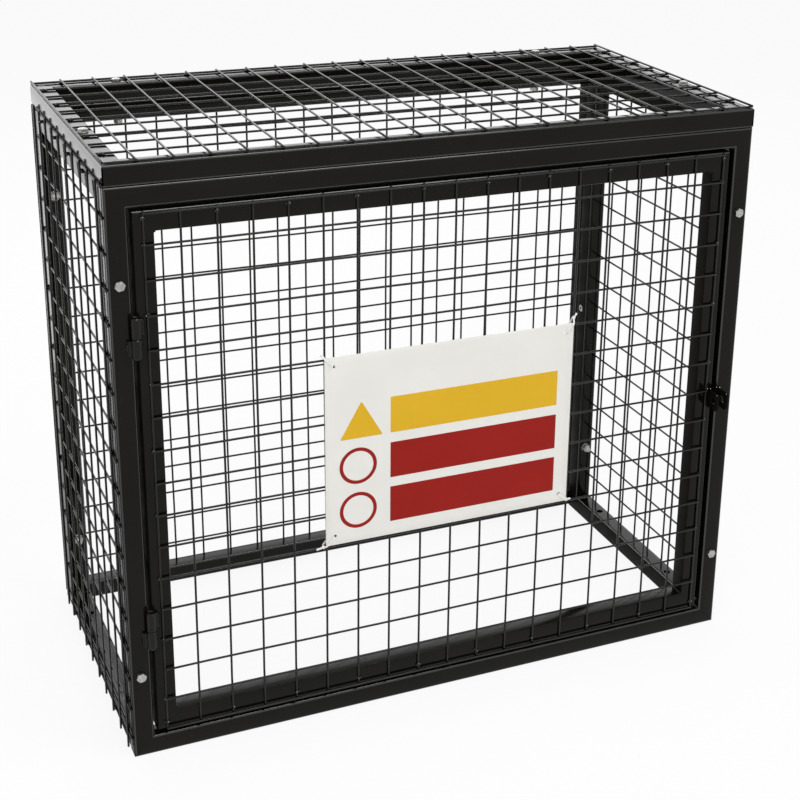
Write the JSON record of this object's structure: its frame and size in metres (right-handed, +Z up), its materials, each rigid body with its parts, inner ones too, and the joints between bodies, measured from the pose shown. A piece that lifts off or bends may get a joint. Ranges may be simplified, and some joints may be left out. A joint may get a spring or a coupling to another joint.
{
  "type": "gas cylinder cage",
  "caption": "Lockable wire mesh cage for gas cylinders: bolted box-section panels, mesh roof, hinged front door with padlock ears and a sign plate tied to the door mesh.",
  "frame": {"origin": "on the floor, midway between the four floor anchor holes of the two side panels' bottom rails", "axes": "+Z up, -Y out of the front with the door, +X to the lock side"},
  "size_m": [1.0114, 0.5457, 0.9077],
  "materials": {
    "frame": "satin black powder coat",
    "mesh": "satin black powder coat",
    "fittings": "satin black powder coat",
    "sign": "white rigid plastic, printed bands",
    "ties": "white nylon"
  },
  "bodies": {
    "cage": {"front_left_post": "frame", "front_right_post": "frame", "front_top_rail": "frame", "front_bottom_rail": "frame", "left_front_post": "frame", "left_rear_post": "frame", "left_top_rail": "frame", "left_bottom_rail": "frame", "right_front_post": "frame", "right_rear_post": "frame", "right_top_rail": "frame", "right_bottom_rail": "frame", "back_left_post": "frame", "back_right_post": "frame", "back_top_rail": "frame", "back_bottom_rail": "frame", "roof_left_rail": "frame", "roof_right_rail": "frame", "roof_front_rail": "frame", "roof_back_rail": "frame", "left_mesh": "mesh", "right_mesh": "mesh", "back_mesh": "mesh", "roof_mesh": "mesh", "upper_hinge_frame_half": "fittings", "lower_hinge_frame_half": "fittings", "frame_hasp_ear": "fittings"},
    "door": {"door_hinge_stile": "frame", "door_lock_stile": "frame", "door_top_rail": "frame", "door_bottom_rail": "frame", "door_mesh": "mesh", "upper_hinge_door_half": "fittings", "lower_hinge_door_half": "fittings", "door_hasp_ear": "fittings", "sign_plate": "sign", "sign_ties": "ties"}
  },
  "joints": [
    {"name": "door_hinge", "type": "hinge", "parent": "cage", "child": "door", "pos_m": [-0.4675, -0.262, 0], "axis": [0, 0, 1], "range_deg": [-170, 0]}
  ]
}
